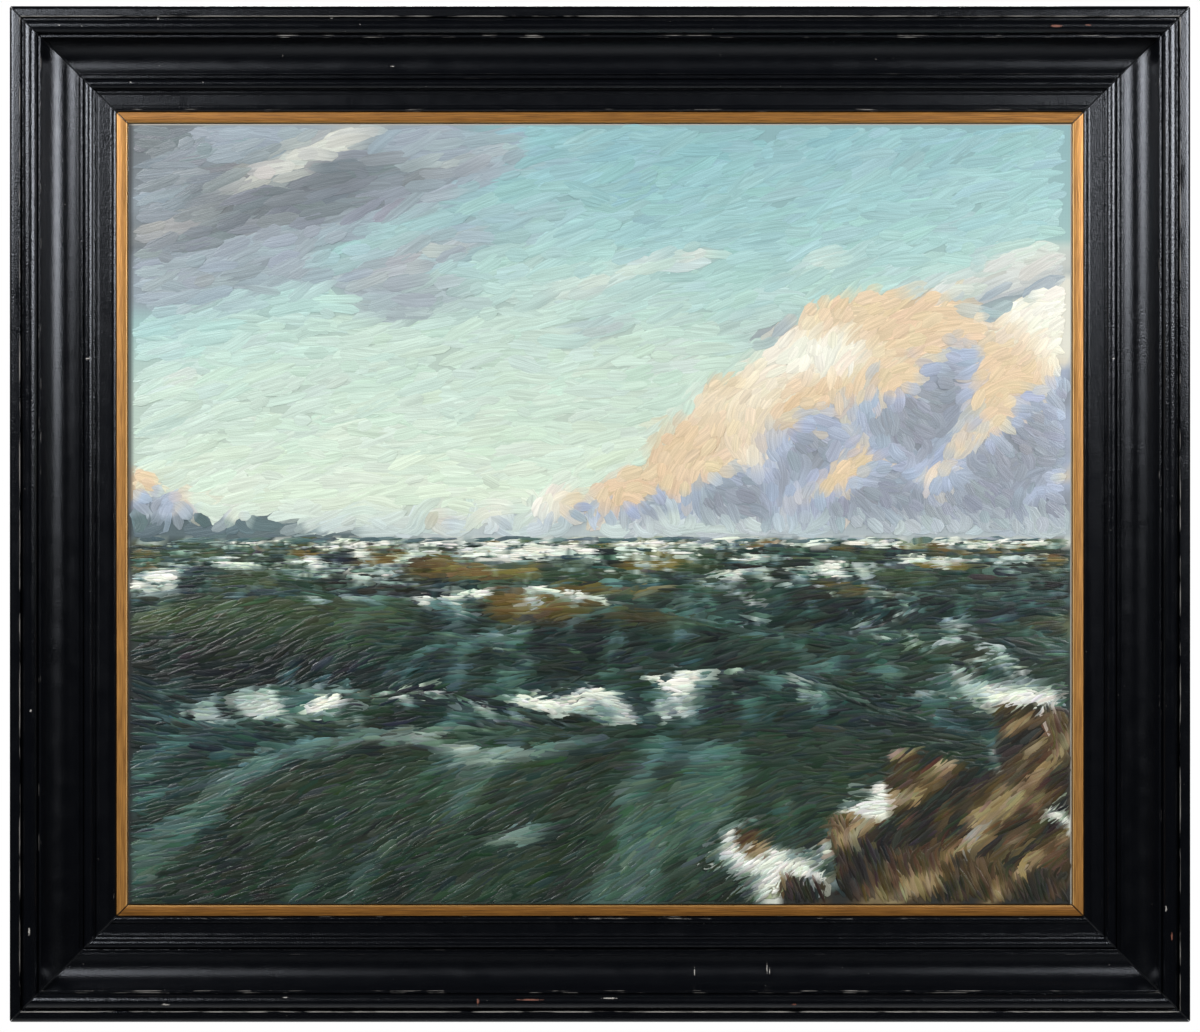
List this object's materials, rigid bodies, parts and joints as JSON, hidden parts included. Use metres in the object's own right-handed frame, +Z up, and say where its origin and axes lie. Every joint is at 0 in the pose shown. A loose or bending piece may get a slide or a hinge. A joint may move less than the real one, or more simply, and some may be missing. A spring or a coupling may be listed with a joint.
{
  "type": "framed oil painting",
  "caption": "Oil painting on a stretched canvas in a deep black scoop frame with a gilt slip, to hang on a wall by the flat back of its top rail.",
  "frame": {"origin": "middle of the flat back of the top rail, on the wall plane, 29 mm below the frame's top edge", "axes": "+X to the viewer's right, +Y out of the back into the wall, +Z up; the picture faces -Y"},
  "size_m": [0.9036, 0.0491, 0.7776],
  "materials": {
    "ebonised_wood": "black stain under satin varnish, worn on the arrises",
    "gilt_wood": "bronze-powder gilding over wood, grain showing",
    "painted_canvas": "oil paint with impasto under gloss varnish",
    "pine": "bare, aged",
    "steel": "zinc plated, dull"
  },
  "bodies": {
    "root": {"frame_rail_top": "ebonised_wood", "frame_rail_bottom": "ebonised_wood", "frame_rail_left": "ebonised_wood", "frame_rail_right": "ebonised_wood", "slip_top": "gilt_wood", "slip_bottom": "gilt_wood", "slip_left": "gilt_wood", "slip_right": "gilt_wood", "canvas": "painted_canvas", "strainer_bar_top": "pine", "strainer_bar_bottom": "pine", "strainer_bar_left": "pine", "strainer_bar_right": "pine", "retaining_plate_top": "steel", "retaining_plate_bottom": "steel", "retaining_plate_left": "steel", "retaining_plate_right": "steel", "frame_screw_top": "steel", "frame_screw_bottom": "steel", "frame_screw_left": "steel", "frame_screw_right": "steel", "strainer_screw_top": "steel", "strainer_screw_bottom": "steel", "strainer_screw_left": "steel", "strainer_screw_right": "steel"}
  },
  "joints": []
}
